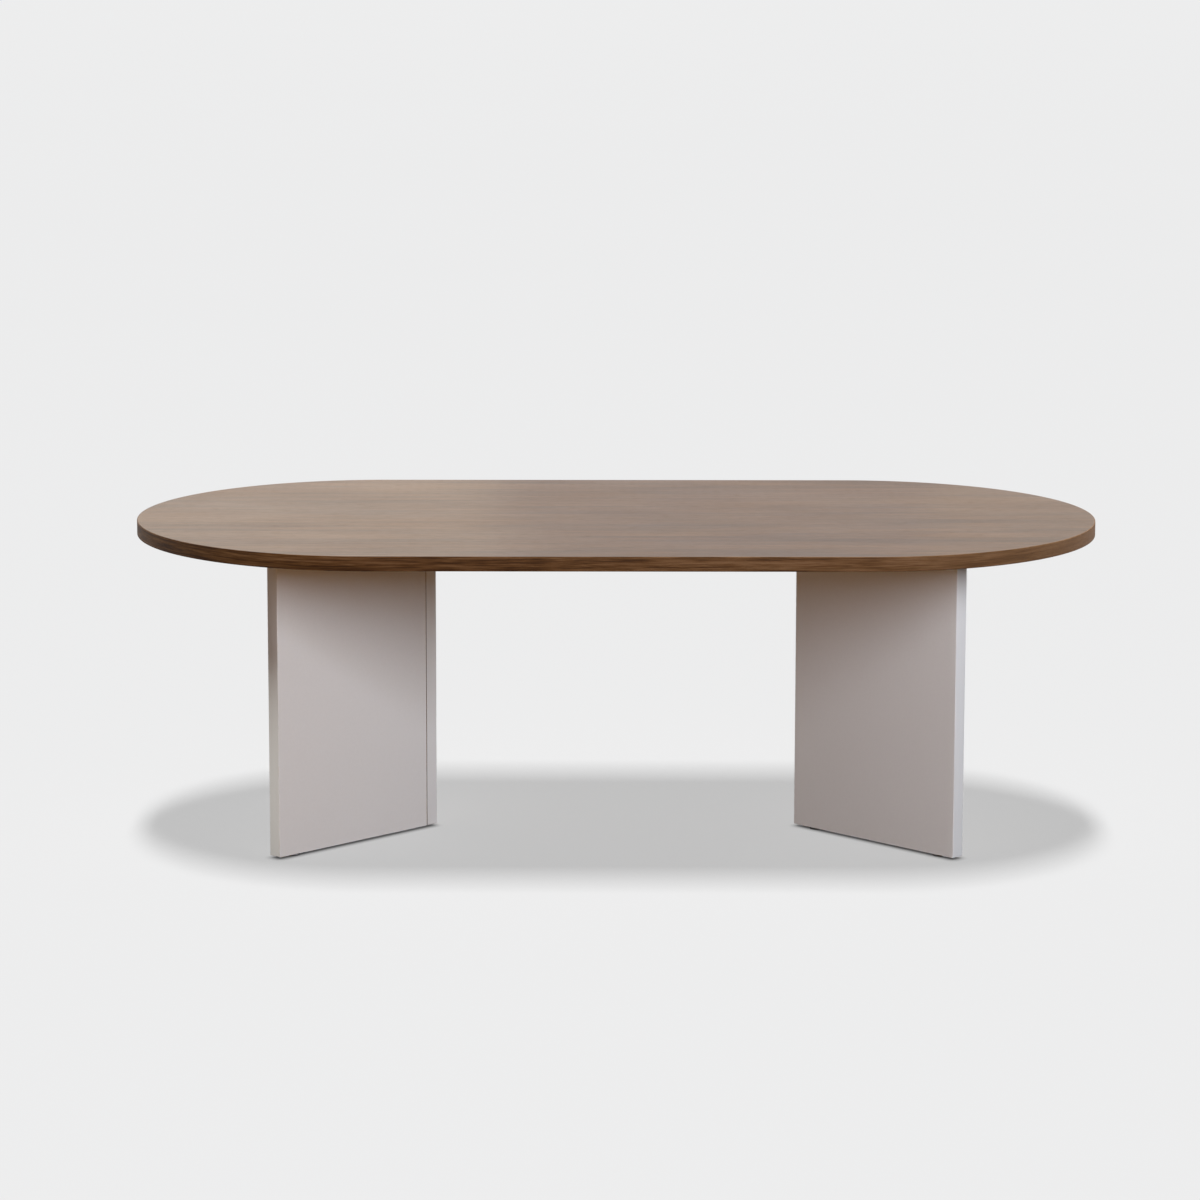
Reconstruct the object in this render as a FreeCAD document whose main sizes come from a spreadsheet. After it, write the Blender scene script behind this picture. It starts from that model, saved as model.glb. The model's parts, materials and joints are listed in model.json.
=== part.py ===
import FreeCAD, Part
import Sketcher
import math
import os
from collections import namedtuple

# Racetrack coffee table: a veneered board on two V-shaped bases.
# Millimetres, +Z up, +X along the top, origin on the floor under its middle.
# Each base is two upright panels that meet at a right angle. The corner points
# to the middle of the table and the two arms open towards its end. The left
# base and the right base are the same unit, half a turn apart.

SIZES = {
    # Table top
    "top_length": 1200.0,
    "top_width": 600.0,
    "top_thickness": 18.0,
    "veneer_thickness": 0.6,
    "edge_band_thickness": 1.0,
    "edge_rounding": 0.4,
    # Bases
    "end_overhang": 186.0,
    "arm_length": 265.0,
    "panel_thickness": 18.0,
    "panel_height": 377.0,
    "panel_band_thickness": 1.0,
    "floor_gap": 3.0,
    # Fits shared by all the fittings
    "fit_clearance": 0.05,
    "end_gap": 0.5,
    "drill_overrun": 1.0,
    # Wooden dowels
    "dowel_diameter": 8.0,
    "dowel_length": 30.0,
    "dowel_bite": 10.5,
    "dowel_chamfer": 1.0,
    "top_dowel_inset": 30.0,
    "corner_dowel_inset": 35.0,
    # Cam locks and the bolts that they pull on
    "cam_diameter": 15.0,
    "cam_length": 13.0,
    "cam_recess": 0.5,
    "cam_setback": 34.0,
    "cam_slot_length": 8.0,
    "cam_slot_width": 1.8,
    "cam_slot_depth": 3.0,
    "cam_mouth_clearance": 0.3,
    "top_cam_inset": 70.0,
    "corner_cam_inset": 70.0,
    "bolt_head_diameter": 7.0,
    "bolt_head_length": 4.0,
    "bolt_neck_diameter": 5.0,
    "bolt_neck_length": 8.0,
    "bolt_shank_diameter": 7.0,
    "bolt_thread_diameter": 6.0,
    "bolt_thread_length": 11.0,
    "bolt_point": 1.0,
    "bolt_hole_clearance": 0.5,
    # Levelling glides
    "glide_inset": 30.0,
    "glide_travel": 8.0,
    "glide_seat_gap": 0.3,
    "pad_diameter": 16.0,
    "pad_chamfer": 0.6,
    "pad_socket": 1.5,
    "stem_diameter": 6.0,
    "stem_point": 0.8,
    "stem_room": 2.0,
    "insert_diameter": 10.0,
    "insert_length": 13.0,
}

Panel = namedtuple("Panel", "name side turn through")

# The through panel runs to the corner edge, and the butt panel ends against its inner face.
PANELS = [
    Panel("left_rear", -1, 135, True),
    Panel("left_front", -1, 45, False),
    Panel("right_front", 1, 315, True),
    Panel("right_rear", 1, 225, False),
]

# How a fitting is turned in the frame of its panel
UPRIGHT = "rotation(vector(0; 0; 1); 0)"
ALONG_PANEL = "rotation(vector(0; 1; 0); 90)"
CAM_FACING_UP = "rotation(vector(1; 1; 1); 240)"
CAM_FACING_ALONG = "rotation(vector(1; 0; 0); -90)"

# Heights and middles that several pieces share
UNDERSIDE = "(sizes.floor_gap + sizes.panel_height)"
PANEL_MIDDLE = "sizes.panel_thickness / 2"
PAD_THICKNESS = "(sizes.floor_gap - sizes.glide_seat_gap)"
STEM_REACH = "(sizes.insert_length + sizes.glide_travel)"
BOLT_TO_MATE = "(sizes.cam_setback + sizes.bolt_head_length / 2)"
CAM_FACE_DEPTH = "(sizes.cam_length + sizes.cam_recess)"

doc = FreeCAD.newDocument("coffee_table")
sheet = doc.addObject("Spreadsheet::Sheet", "sizes")
for row, (alias, size) in enumerate(SIZES.items(), start=1):
    sheet.set(f"A{row}", alias)
    sheet.set(f"B{row}", str(size))
    sheet.setAlias(f"B{row}", alias)
doc.recompute()


def value(expression):
    """Work out a sheet expression as a number."""
    return float(sheet.evalExpression(expression))


# Sketches

def new_sketch(body, role, height="0"):
    """Attach a sketch to an origin plane of its body, moved along the plane's normal."""
    plane = next(item for item in body.Origin.OriginFeatures if item.Role == role)
    sketch = body.newObject("Sketcher::SketchObject", "outline")
    sketch.AttachmentSupport = [(plane, "")]
    sketch.MapMode = "FlatFace"
    sketch.setExpression("AttachmentOffset.Base.z", height)
    return sketch


def bind(sketch, expression, kind, *target):
    """Add a driving constraint and tie its value to the sheet."""
    index = sketch.addConstraint(Sketcher.Constraint(kind, *target, value(expression)))
    sketch.setExpression(f"Constraints[{index}]", expression)


def place_point(sketch, geometry, point, x, y):
    """Hold a point at sheet coordinates, or on an axis where a coordinate is 0."""
    for kind, axis, expression in (("DistanceX", -2, x), ("DistanceY", -1, y)):
        if expression == "0":
            sketch.addConstraint(Sketcher.Constraint("PointOnObject", geometry, point, axis))
        else:
            bind(sketch, expression, kind, -1, 1, geometry, point)


def add_polygon(sketch, corners):
    """Draw a closed polygon whose corners are pairs of sheet expressions."""
    points = [FreeCAD.Vector(value(x), value(y), 0) for x, y in corners]
    count = len(points)
    for index in range(count):
        sketch.addGeometry(Part.LineSegment(points[index], points[(index + 1) % count]))
    for index in range(count):
        sketch.addConstraint(Sketcher.Constraint("Coincident", index, 2, (index + 1) % count, 1))
    for index, (x, y) in enumerate(corners):
        place_point(sketch, index, 1, x, y)


def add_circle(sketch, x, y, diameter):
    """Draw a circle at sheet coordinates."""
    centre = FreeCAD.Vector(value(x), value(y), 0)
    circle = Part.Circle(centre, FreeCAD.Vector(0, 0, 1), value(diameter) / 2)
    index = sketch.addGeometry(circle)
    place_point(sketch, index, 3, x, y)
    bind(sketch, diameter, "Diameter", index)


def add_racetrack(sketch, length, width):
    """Draw two straight sides joined by half circles, centred on the origin."""
    run = f"{length} - {width}"
    half = value(run) / 2
    radius = value(width) / 2
    quarter = math.pi / 2
    up = FreeCAD.Vector(0, 0, 1)
    right_circle = Part.Circle(FreeCAD.Vector(half, 0, 0), up, radius)
    left_circle = Part.Circle(FreeCAD.Vector(-half, 0, 0), up, radius)
    rear_right = FreeCAD.Vector(half, radius, 0)
    rear_left = FreeCAD.Vector(-half, radius, 0)
    front_left = FreeCAD.Vector(-half, -radius, 0)
    front_right = FreeCAD.Vector(half, -radius, 0)
    rear = sketch.addGeometry(Part.LineSegment(rear_right, rear_left))
    left = sketch.addGeometry(Part.ArcOfCircle(left_circle, quarter, 3 * quarter))
    front = sketch.addGeometry(Part.LineSegment(front_left, front_right))
    right = sketch.addGeometry(Part.ArcOfCircle(right_circle, -quarter, quarter))
    for first, second in ((rear, left), (left, front), (front, right), (right, rear)):
        sketch.addConstraint(Sketcher.Constraint("Tangent", first, 2, second, 1))
    sketch.addConstraint(Sketcher.Constraint("Horizontal", front))
    sketch.addConstraint(Sketcher.Constraint("Symmetric", left, 3, right, 3, -1, 1))
    sketch.addConstraint(Sketcher.Constraint("PointOnObject", right, 3, -1))
    bind(sketch, f"({width}) / 2", "Radius", right)
    bind(sketch, run, "DistanceX", left, 3, right, 3)


# Features

def pad(body, sketch, length):
    """Raise a sketch by a sheet length."""
    feature = body.newObject("PartDesign::Pad", "pad")
    feature.Profile = sketch
    feature.setExpression("Length", length)
    doc.recompute()
    return feature


def pocket(body, sketch, depth):
    """Cut a sketch into its body, against the sketch's normal, and make sure that it cut."""
    before = body.Shape.Volume
    feature = body.newObject("PartDesign::Pocket", "pocket")
    feature.Profile = sketch
    feature.setExpression("Length", depth)
    doc.recompute()
    if body.Shape.Volume >= before:
        raise RuntimeError(f"a pocket in {body.Label} cuts nothing")


def turned(name, profile):
    """Revolve a closed profile of radius and height corners about Z."""
    body = doc.addObject("PartDesign::Body", name)
    sketch = new_sketch(body, "XZ_Plane")
    add_polygon(sketch, profile)
    feature = body.newObject("PartDesign::Revolution", "turn")
    feature.Profile = sketch
    feature.ReferenceAxis = (sketch, ["V_Axis"])
    feature.Angle = 360
    doc.recompute()
    return body


def box(name, length, width, height, placement):
    """Make a rectangular block with every size and its place tied to the sheet."""
    block = doc.addObject("Part::Box", name)
    block.setExpression("Length", length)
    block.setExpression("Width", width)
    block.setExpression("Height", height)
    block.setExpression("Placement", placement)
    doc.recompute()
    return block


def placed(master, seats):
    """Put a copy of a fitting, or of its drill, at each seat."""
    copies = []
    for seat_expression in seats:
        copy = doc.addObject("App::Link", f"{master.Name}_copy")
        copy.LinkedObject = master
        copy.setExpression("Placement", seat_expression)
        copies.append(copy)
    return copies


def group(label, copies):
    """Gather copies as the separate solids of one sub-part."""
    compound = doc.addObject("Part::Compound", label)
    compound.Links = copies
    doc.recompute()
    return compound


def drilled(label, blank, drills):
    """Cut all the drills out of a blank in one go."""
    tool = drills[0]
    if len(drills) > 1:
        tool = doc.addObject("Part::MultiFuse", f"{label}_drills")
        tool.Shapes = drills
    result = doc.addObject("Part::Cut", label)
    result.Base = blank
    result.Tool = tool
    doc.recompute()
    if result.Shape.Volume >= blank.Shape.Volume:
        raise RuntimeError(f"the drills miss {label}")
    return result


# Panel frames: X runs along the panel, Y from the outer face to the inner face, Z up from its foot

def panel_length(panel):
    """A through panel has the whole arm, and a butt panel stops at the other's inner face."""
    if panel.through:
        return "sizes.arm_length"
    return "(sizes.arm_length - sizes.panel_thickness)"


def panel_frame(panel):
    """Place a panel frame: a through panel's at the corner edge, a butt panel's at the arm's free end."""
    reach = "sizes.arm_length * sqrt(0.5)"
    arm_end = "sizes.top_length / 2 - sizes.end_overhang"
    x = f"{arm_end} - {reach}" if panel.through else arm_end
    y = "0" if panel.through else reach
    corner = f"vector({panel.side} * ({x}); {panel.side} * {y}; sizes.floor_gap)"
    return f"placement({corner}; rotation(vector(0; 0; 1); {panel.turn}))"


def seat(panel, x, y, z, turn=UPRIGHT):
    """Place something in the frame of a panel."""
    return f"{panel_frame(panel)} * placement(vector({x}; {y}; {z}); {turn})"


def both_ends(length, inset):
    """Two places, the same distance in from either end."""
    return [inset, f"{length} - {inset}"]


def top_dowel_seats(panel):
    """Dowels that stand in the upper edge of a panel."""
    z = "sizes.panel_height + sizes.dowel_bite - sizes.dowel_length"
    places = both_ends(panel_length(panel), "sizes.top_dowel_inset")
    return [seat(panel, x, PANEL_MIDDLE, z) for x in places]


def top_bolt_seats(panel):
    """Bolts that hang from the top into the upper edge of a panel."""
    z = f"sizes.panel_height - {BOLT_TO_MATE}"
    places = both_ends(panel_length(panel), "sizes.top_cam_inset")
    return [seat(panel, x, PANEL_MIDDLE, z) for x in places]


def top_cam_seats(panel):
    """Cam locks in the inner face of a panel, below its upper edge."""
    y = f"sizes.panel_thickness - {CAM_FACE_DEPTH}"
    z = "sizes.panel_height - sizes.cam_setback"
    places = both_ends(panel_length(panel), "sizes.top_cam_inset")
    return [seat(panel, x, y, z, CAM_FACING_UP) for x in places]


def corner_dowel_seats(panel):
    """Dowels that lie in the butt end of a panel, near both ends and in the middle."""
    if panel.through:
        return []
    x = f"{panel_length(panel)} + sizes.dowel_bite - sizes.dowel_length"
    heights = both_ends("sizes.panel_height", "sizes.corner_dowel_inset") + ["sizes.panel_height / 2"]
    return [seat(panel, x, PANEL_MIDDLE, z, ALONG_PANEL) for z in heights]


def corner_bolt_seats(panel):
    """Bolts that reach from the through panel into the butt end of a panel."""
    if panel.through:
        return []
    x = f"{panel_length(panel)} - {BOLT_TO_MATE}"
    heights = both_ends("sizes.panel_height", "sizes.corner_cam_inset")
    return [seat(panel, x, PANEL_MIDDLE, z, ALONG_PANEL) for z in heights]


def corner_cam_seats(panel):
    """Cam locks in the inner face of a butt panel, beside the corner."""
    if panel.through:
        return []
    x = f"{panel_length(panel)} - sizes.cam_setback"
    y = f"sizes.panel_thickness - {CAM_FACE_DEPTH}"
    heights = both_ends("sizes.panel_height", "sizes.corner_cam_inset")
    return [seat(panel, x, y, z, CAM_FACING_ALONG) for z in heights]


def glide_places(panel):
    """Name the feet of a panel and say where along it they stand."""
    side_name = panel.name.split("_")[0]
    free_end = "sizes.glide_inset"
    if panel.through:
        free_end = f"{panel_length(panel)} - sizes.glide_inset"
        return {panel.name: free_end, f"{side_name}_corner": "sizes.glide_inset"}
    return {panel.name: free_end}


def glide_seats(panel, z):
    """Places of the feet of a panel at a height above its lower edge."""
    return {name: seat(panel, x, PANEL_MIDDLE, z) for name, x in glide_places(panel).items()}


def same_base(panel):
    """Both panels of the base that a panel belongs to."""
    return [other for other in PANELS if other.side == panel.side]


def gather(seats_of, panels):
    """All the seats of one kind on some panels."""
    return [place for panel in panels for place in seats_of(panel)]


# Fittings and their drills, each about its own Z axis

def make_dowel():
    """Round wooden peg with chamfered ends, and its hole with room at both ends."""
    radius = "sizes.dowel_diameter / 2"
    nose = f"{radius} - sizes.dowel_chamfer"
    shoulder = "sizes.dowel_length - sizes.dowel_chamfer"
    peg = turned("dowel", [
        ("0", "0"), (nose, "0"), (radius, "sizes.dowel_chamfer"),
        (radius, shoulder), (nose, "sizes.dowel_length"), ("0", "sizes.dowel_length"),
    ])
    bore = f"{radius} + sizes.fit_clearance"
    far = "sizes.dowel_length + sizes.end_gap"
    drill = turned("dowel_drill", [
        ("0", "-sizes.end_gap"), (bore, "-sizes.end_gap"), (bore, far), ("0", far),
    ])
    return peg, drill


def make_bolt():
    """Cam bolt: head, neck and shank in one panel, screwed point in the board that it pulls."""
    head = "sizes.bolt_head_diameter / 2"
    neck = "sizes.bolt_neck_diameter / 2"
    shank = "sizes.bolt_shank_diameter / 2"
    thread = "sizes.bolt_thread_diameter / 2"
    neck_end = "sizes.bolt_head_length + sizes.bolt_neck_length"
    tip = f"{BOLT_TO_MATE} + sizes.bolt_thread_length"
    bolt = turned("bolt", [
        ("0", "0"), (head, "0"), (head, "sizes.bolt_head_length"), (neck, "sizes.bolt_head_length"),
        (neck, neck_end), (shank, neck_end), (shank, BOLT_TO_MATE), (thread, BOLT_TO_MATE),
        (thread, f"{tip} - sizes.bolt_point"), (f"{thread} - sizes.bolt_point", tip), ("0", tip),
    ])
    wide = f"{shank} + sizes.bolt_hole_clearance"
    pilot = f"{thread} + sizes.fit_clearance"
    drill = turned("bolt_drill", [
        ("0", "0"), (wide, "0"), (wide, BOLT_TO_MATE), (pilot, BOLT_TO_MATE),
        (pilot, f"{tip} + sizes.end_gap"), ("0", f"{tip} + sizes.end_gap"),
    ])
    return bolt, drill


def make_cam():
    """Cam lock: a disc with a cross slot on its face and a mouth in its side for the bolt head."""
    cam = doc.addObject("PartDesign::Body", "cam")
    disc = new_sketch(cam, "XY_Plane")
    add_circle(disc, "0", "0", "sizes.cam_diameter - 2 * sizes.fit_clearance")
    pad(cam, disc, "sizes.cam_length")
    arm = "sizes.cam_slot_length / 2"
    half = "sizes.cam_slot_width / 2"
    cross = new_sketch(cam, "XY_Plane", "sizes.cam_length")
    add_polygon(cross, [
        (arm, f"-{half}"), (arm, half), (half, half), (half, arm), (f"-{half}", arm), (f"-{half}", half),
        (f"-{arm}", half), (f"-{arm}", f"-{half}"), (f"-{half}", f"-{half}"), (f"-{half}", f"-{arm}"),
        (half, f"-{arm}"), (half, f"-{half}"),
    ])
    pocket(cam, cross, "sizes.cam_slot_depth")
    mouth = new_sketch(cam, "YZ_Plane", "sizes.cam_diameter / 2")
    bolt_axis = f"{CAM_FACE_DEPTH} - {PANEL_MIDDLE}"
    add_circle(mouth, "0", bolt_axis, "sizes.bolt_head_diameter + 2 * sizes.cam_mouth_clearance")
    pocket(cam, mouth, "sizes.cam_diameter / 2 + sizes.bolt_head_length / 2 + sizes.cam_mouth_clearance")
    radius = "sizes.cam_diameter / 2"
    outside = f"{CAM_FACE_DEPTH} + sizes.drill_overrun"
    drill = turned("cam_drill", [
        ("0", "-sizes.end_gap"), (radius, "-sizes.end_gap"), (radius, outside), ("0", outside),
    ])
    return cam, drill


def make_insert():
    """Threaded bush for a glide, and its hole, which goes on upwards as room for the stem."""
    bore = "sizes.stem_diameter / 2 + sizes.fit_clearance"
    outer = "sizes.insert_diameter / 2"
    insert = turned("insert", [
        (bore, "0"), (outer, "0"), (outer, "sizes.insert_length"), (bore, "sizes.insert_length"),
    ])
    wide = f"{outer} + sizes.fit_clearance"
    room = "sizes.stem_diameter / 2 + sizes.end_gap"
    far = f"{STEM_REACH} + sizes.stem_room"
    drill = turned("glide_drill", [
        ("0", "-sizes.drill_overrun"), (wide, "-sizes.drill_overrun"), (wide, "sizes.insert_length"),
        (room, "sizes.insert_length"), (room, far), ("0", far),
    ])
    return insert, drill


def make_pad():
    """Round foot of a glide, with a socket for the stem in its upper face."""
    rim = "sizes.pad_diameter / 2"
    sole = f"{rim} - sizes.pad_chamfer"
    socket = "sizes.stem_diameter / 2 + sizes.fit_clearance"
    floor = f"{PAD_THICKNESS} - sizes.pad_socket"
    return turned("pad", [
        ("0", "0"), (sole, "0"), (rim, "sizes.pad_chamfer"), (rim, PAD_THICKNESS),
        (socket, PAD_THICKNESS), (socket, floor), ("0", floor),
    ])


def make_stem():
    """Threaded stem of a glide, from the floor of the pad's socket to its full reach in the panel."""
    radius = "sizes.stem_diameter / 2"
    end = f"sizes.pad_socket + sizes.glide_seat_gap + {STEM_REACH}"
    return turned("stem", [
        ("0", "0"), (radius, "0"), (radius, f"{end} - sizes.stem_point"),
        (f"{radius} - sizes.stem_point", end), ("0", end),
    ])


# Table top

def make_racetrack_plate(name, bottom, thickness):
    """A board or sheet of the top, inside the edge band."""
    body = doc.addObject("PartDesign::Body", name)
    sketch = new_sketch(body, "XY_Plane", bottom)
    length = "(sizes.top_length - 2 * sizes.edge_band_thickness)"
    width = "(sizes.top_width - 2 * sizes.edge_band_thickness)"
    add_racetrack(sketch, length, width)
    pad(body, sketch, thickness)
    return body


def make_edge_band():
    """The strip round the top, with its outer edges rounded over."""
    body = doc.addObject("PartDesign::Body", "top_edge_band")
    outline = new_sketch(body, "XY_Plane", UNDERSIDE)
    add_racetrack(outline, "sizes.top_length", "sizes.top_width")
    block = pad(body, outline, "sizes.top_thickness")
    rim = []
    for number, edge in enumerate(block.Shape.Edges, start=1):
        if edge.BoundBox.ZLength < 0.001:
            rim.append(f"Edge{number}")
    rounding = body.newObject("PartDesign::Fillet", "rounding")
    rounding.Base = (block, rim)
    rounding.setExpression("Radius", "sizes.edge_rounding")
    doc.recompute()
    inside = new_sketch(body, "XY_Plane", f"{UNDERSIDE} + sizes.top_thickness")
    length = "(sizes.top_length - 2 * sizes.edge_band_thickness)"
    width = "(sizes.top_width - 2 * sizes.edge_band_thickness)"
    add_racetrack(inside, length, width)
    pocket(body, inside, "sizes.top_thickness")
    return body


def make_top(dowel_drill, bolt_drill):
    """Core, face veneer, backing veneer and edge band."""
    drills = placed(dowel_drill, gather(top_dowel_seats, PANELS))
    drills += placed(bolt_drill, gather(top_bolt_seats, PANELS))
    core_bottom = f"{UNDERSIDE} + sizes.veneer_thickness"
    core_thickness = "sizes.top_thickness - 2 * sizes.veneer_thickness"
    face_bottom = f"{UNDERSIDE} + sizes.top_thickness - sizes.veneer_thickness"
    core_blank = make_racetrack_plate("core_blank", core_bottom, core_thickness)
    backing_blank = make_racetrack_plate("backing_blank", UNDERSIDE, "sizes.veneer_thickness")
    return [
        drilled("top_core", core_blank, drills),
        make_racetrack_plate("top_veneer", face_bottom, "sizes.veneer_thickness"),
        drilled("underside_veneer", backing_blank, drills),
        make_edge_band(),
    ]


# Base panels

def make_panel(panel, drills_for):
    """Board with its fitting holes, and the bands on its free upright edges and its foot."""
    band = "sizes.panel_band_thickness"
    thickness = "sizes.panel_thickness"
    length = panel_length(panel)
    bands_across = 2 if panel.through else 1
    board_length = f"{length} - {bands_across} * {band}"
    blank = box(
        f"{panel.name}_blank", board_length, thickness, f"sizes.panel_height - {band}",
        seat(panel, band, "0", band),
    )
    foot = box(f"{panel.name}_foot_blank", board_length, thickness, band, seat(panel, band, "0", "0"))
    glide_drills = drills_for["glide"](panel)
    pieces = [
        drilled(f"{panel.name}_panel", blank, drills_for["joints"](panel) + glide_drills),
        drilled(f"{panel.name}_foot_band", foot, glide_drills),
    ]
    end_x = f"{length} - {band}" if panel.through else "0"
    pieces.append(box(
        f"{panel.name}_end_band", band, thickness, "sizes.panel_height", seat(panel, end_x, "0", "0"),
    ))
    if panel.through:
        pieces.append(box(
            f"{panel.name}_corner_band", band, thickness, "sizes.panel_height", seat(panel, "0", "0", "0"),
        ))
    return pieces


def main():
    """Build every sub-part, check them all and write one file for each."""
    dowel, dowel_drill = make_dowel()
    bolt, bolt_drill = make_bolt()
    cam, cam_drill = make_cam()
    insert, glide_drill = make_insert()
    foot_pad = make_pad()
    stem = make_stem()

    def joint_drills(panel):
        """Holes for the fittings to the top, and for the corner fittings of the whole base."""
        base = same_base(panel)
        drills = placed(dowel_drill, top_dowel_seats(panel) + gather(corner_dowel_seats, base))
        drills += placed(bolt_drill, top_bolt_seats(panel) + gather(corner_bolt_seats, base))
        return drills + placed(cam_drill, top_cam_seats(panel) + corner_cam_seats(panel))

    def glide_drills(panel):
        """Holes for the threaded bushes in the foot of a panel."""
        return placed(glide_drill, glide_seats(panel, "0").values())

    sub_parts = make_top(dowel_drill, bolt_drill)
    for panel in PANELS:
        sub_parts += make_panel(panel, {"joints": joint_drills, "glide": glide_drills})

    for label, master, seats_of in (
        ("top_dowels", dowel, top_dowel_seats),
        ("corner_dowels", dowel, corner_dowel_seats),
        ("top_cam_bolts", bolt, top_bolt_seats),
        ("corner_cam_bolts", bolt, corner_bolt_seats),
        ("top_cam_locks", cam, top_cam_seats),
        ("corner_cam_locks", cam, corner_cam_seats),
    ):
        sub_parts.append(group(label, placed(master, gather(seats_of, PANELS))))

    for panel in PANELS:
        pad_seats = glide_seats(panel, "-sizes.floor_gap")
        stem_seats = glide_seats(panel, "-sizes.glide_seat_gap - sizes.pad_socket")
        insert_seats = glide_seats(panel, "0")
        for name in glide_places(panel):
            sub_parts.append(group(f"{name}_insert", placed(insert, [insert_seats[name]])))
            sub_parts.append(group(f"{name}_glide_pad", placed(foot_pad, [pad_seats[name]])))
            sub_parts.append(group(f"{name}_glide_stem", placed(stem, [stem_seats[name]])))

    doc.recompute()
    for item in doc.Objects:
        if "Invalid" in item.State or "Error" in item.State:
            raise RuntimeError(f"{item.Label} did not build")
    for item in sub_parts:
        if item.Shape.isNull() or not item.Shape.isValid():
            raise RuntimeError(f"{item.Label} has no valid shape")

    os.makedirs("parts", exist_ok=True)
    for item in sub_parts:
        item.Shape.exportStep(f"parts/{item.Label}.step")
        print(item.Label, len(item.Shape.Solids), round(item.Shape.Volume, 1))


main()
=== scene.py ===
import json
import math

import bmesh
import bpy
from bpy.props import FloatProperty, FloatVectorProperty, IntProperty, PointerProperty
from mathutils import Matrix, Vector

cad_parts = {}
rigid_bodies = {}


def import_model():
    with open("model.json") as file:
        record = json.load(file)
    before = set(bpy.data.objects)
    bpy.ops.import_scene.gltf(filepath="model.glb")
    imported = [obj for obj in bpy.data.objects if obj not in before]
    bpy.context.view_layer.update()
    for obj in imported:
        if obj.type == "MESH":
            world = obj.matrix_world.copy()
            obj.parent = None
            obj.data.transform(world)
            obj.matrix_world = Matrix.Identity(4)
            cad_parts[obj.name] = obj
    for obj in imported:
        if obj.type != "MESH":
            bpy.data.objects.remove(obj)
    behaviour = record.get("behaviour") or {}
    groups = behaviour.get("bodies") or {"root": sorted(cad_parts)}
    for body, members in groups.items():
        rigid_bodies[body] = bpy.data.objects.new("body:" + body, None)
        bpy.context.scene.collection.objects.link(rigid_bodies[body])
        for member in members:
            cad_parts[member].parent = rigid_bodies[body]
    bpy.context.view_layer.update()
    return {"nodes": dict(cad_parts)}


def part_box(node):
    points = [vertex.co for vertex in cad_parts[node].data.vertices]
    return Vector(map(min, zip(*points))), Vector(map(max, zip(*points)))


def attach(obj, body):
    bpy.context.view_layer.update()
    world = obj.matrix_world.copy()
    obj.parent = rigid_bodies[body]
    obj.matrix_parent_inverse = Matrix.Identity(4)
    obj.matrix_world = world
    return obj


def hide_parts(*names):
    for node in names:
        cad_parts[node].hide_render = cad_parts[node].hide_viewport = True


bl_info = {
    "name": "Racetrack coffee table",
    "version": (1, 0, 0),
    "blender": (4, 5, 0),
    "location": "View3D > Sidebar > Coffee table",
    "description": "Edge bands, fittings, finishes and a stage for the packed coffee table",
    "category": "Object",
}

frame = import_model()
NODES = frame["nodes"]
PANELS = ["left_front", "left_rear", "right_front", "right_rear"]
GLIDES = ["left_front", "left_rear", "left_corner", "right_front", "right_rear", "right_corner"]
DIAGONAL = math.sqrt(0.5)
TOP_FACE = "top_veneer_sheet"
# Points closer than this are merged, in a new mesh and in one of the frame's
MERGE = 0.000004
MERGE_FRAME = 0.000001
# Levels closer than this are one level
NEAR = 0.0001
# Least share of a normal along an axis with which its face looks that way
FACING = 0.99


# Sizes, finishes and stage that a user may change

def metres(name, description, default, low, high):
    return FloatProperty(
        name=name, description=description, default=default, min=low, max=high, precision=4, unit="LENGTH")


def angle(name, description, degrees, low=-180, high=180):
    return FloatProperty(
        name=name, description=description, default=math.radians(degrees),
        min=math.radians(low), max=math.radians(high), subtype="ANGLE")


def colour(name, description, red, green, blue):
    return FloatVectorProperty(
        name=name, description=description, subtype="COLOR", size=4, min=0.0, max=1.0,
        default=(red, green, blue, 1.0))


class TableSizes(bpy.types.PropertyGroup):
    """Small sizes of the pieces that are modelled here, everything else comes from the frame."""

    band_thickness: metres("Edge band thickness", "Thickness of every edge band", 0.001, 0.0004, 0.003)
    top_arris: metres(
        "Top arris", "Rounding of the upper and lower arris of the walnut band", 0.0008, 0.0001, 0.00095)
    panel_arris: metres("Panel arris", "Rounding of the arrises of the panel bands", 0.0006, 0.0001, 0.00095)
    seam_gap: metres(
        "Seam", "Open seam beside the corner band, where two panels meet", 0.0013, 0.0001, 0.003)
    board_skin: metres(
        "Board skin", "Thickness of the melamine on each face of a panel", 0.0003, 0.0001, 0.001)
    end_steps: IntProperty(
        name="End steps", description="Facets in each half round end of the top",
        default=121, min=24, max=400)
    veneer_leaf: metres("Veneer leaf", "Width of one leaf of the walnut veneer", 0.15, 0.05, 0.6)
    cam_rim: metres("Cam rim", "Width of the raised rim on the face of a cam lock", 0.0008, 0.0002, 0.002)
    pad_rounding: metres("Pad rounding", "Rounding of the sole of a glide pad", 0.0006, 0.0001, 0.0012)
    thread_pitch: metres("Thread pitch", "Rise of the glide thread in one turn", 0.001, 0.0005, 0.002)
    thread_depth: metres("Thread depth", "Depth of the glide thread", 0.0006, 0.0002, 0.001)


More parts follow.
